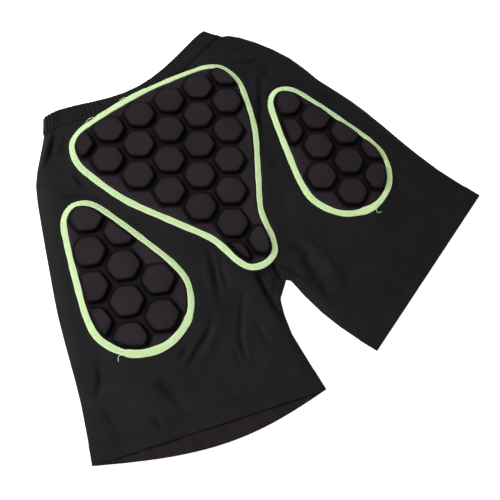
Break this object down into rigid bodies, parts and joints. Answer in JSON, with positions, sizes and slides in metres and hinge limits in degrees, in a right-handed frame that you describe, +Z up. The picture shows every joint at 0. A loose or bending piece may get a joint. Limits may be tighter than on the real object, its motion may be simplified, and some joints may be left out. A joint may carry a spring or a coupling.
{
  "type": "padded impact shorts",
  "caption": "Black stretch undershorts lying back side up, with honeycomb foam pads over tail bone, seat and hips, each edged with bright flatlock tape.",
  "frame": {"origin": "on the surface that the shorts lie on, under the middle of the whole garment", "axes": "+Z up out of the back side, +Y towards the waist, +X towards the wearer's right"},
  "size_m": [0.523, 0.44, 0.0215],
  "materials": {
    "shell_cloth": "black stretch knit with a slight sheen",
    "hem_cloth": "black stretch knit, folded and stitched",
    "elastic": "woven elastic",
    "lining": "knitted mesh",
    "foam": "closed-cell foam",
    "pad_cloth": "dark purple-brown stretch knit moulded over foam cells",
    "tape": "pale neon yellow-green flatlock stitching"
  },
  "bodies": {
    "torso": {"waistband": "hem_cloth", "waist_elastic": "elastic", "crotch_gusset": "shell_cloth", "left_back_panel": "shell_cloth", "left_front_panel": "shell_cloth", "right_back_panel": "shell_cloth", "right_front_panel": "shell_cloth", "seat_pad_lining": "lining", "seat_pad_foam": "foam", "seat_pad_cover": "pad_cloth", "seat_pad_tape": "tape", "left_hip_pad_lining": "lining", "left_hip_pad_foam": "foam", "left_hip_pad_cover": "pad_cloth", "left_hip_pad_tape": "tape", "right_hip_pad_lining": "lining", "right_hip_pad_foam": "foam", "right_hip_pad_cover": "pad_cloth", "right_hip_pad_tape": "tape"},
    "left_leg": {"left_leg_back": "shell_cloth", "left_leg_front": "shell_cloth", "left_leg_hem": "hem_cloth"},
    "right_leg": {"right_leg_back": "shell_cloth", "right_leg_front": "shell_cloth", "right_leg_hem": "hem_cloth"}
  },
  "joints": [
    {"name": "left_leg_fold", "type": "hinge", "parent": "torso", "child": "left_leg", "pos_m": [-0.13, -0.10483, 0.018], "axis": [-0.9903, 0.1392, 0], "range_deg": [0, 178]},
    {"name": "right_leg_fold", "type": "hinge", "parent": "torso", "child": "right_leg", "pos_m": [0.13, -0.10483, 0.018], "axis": [-0.9903, -0.1392, 0], "range_deg": [0, 178]}
  ]
}
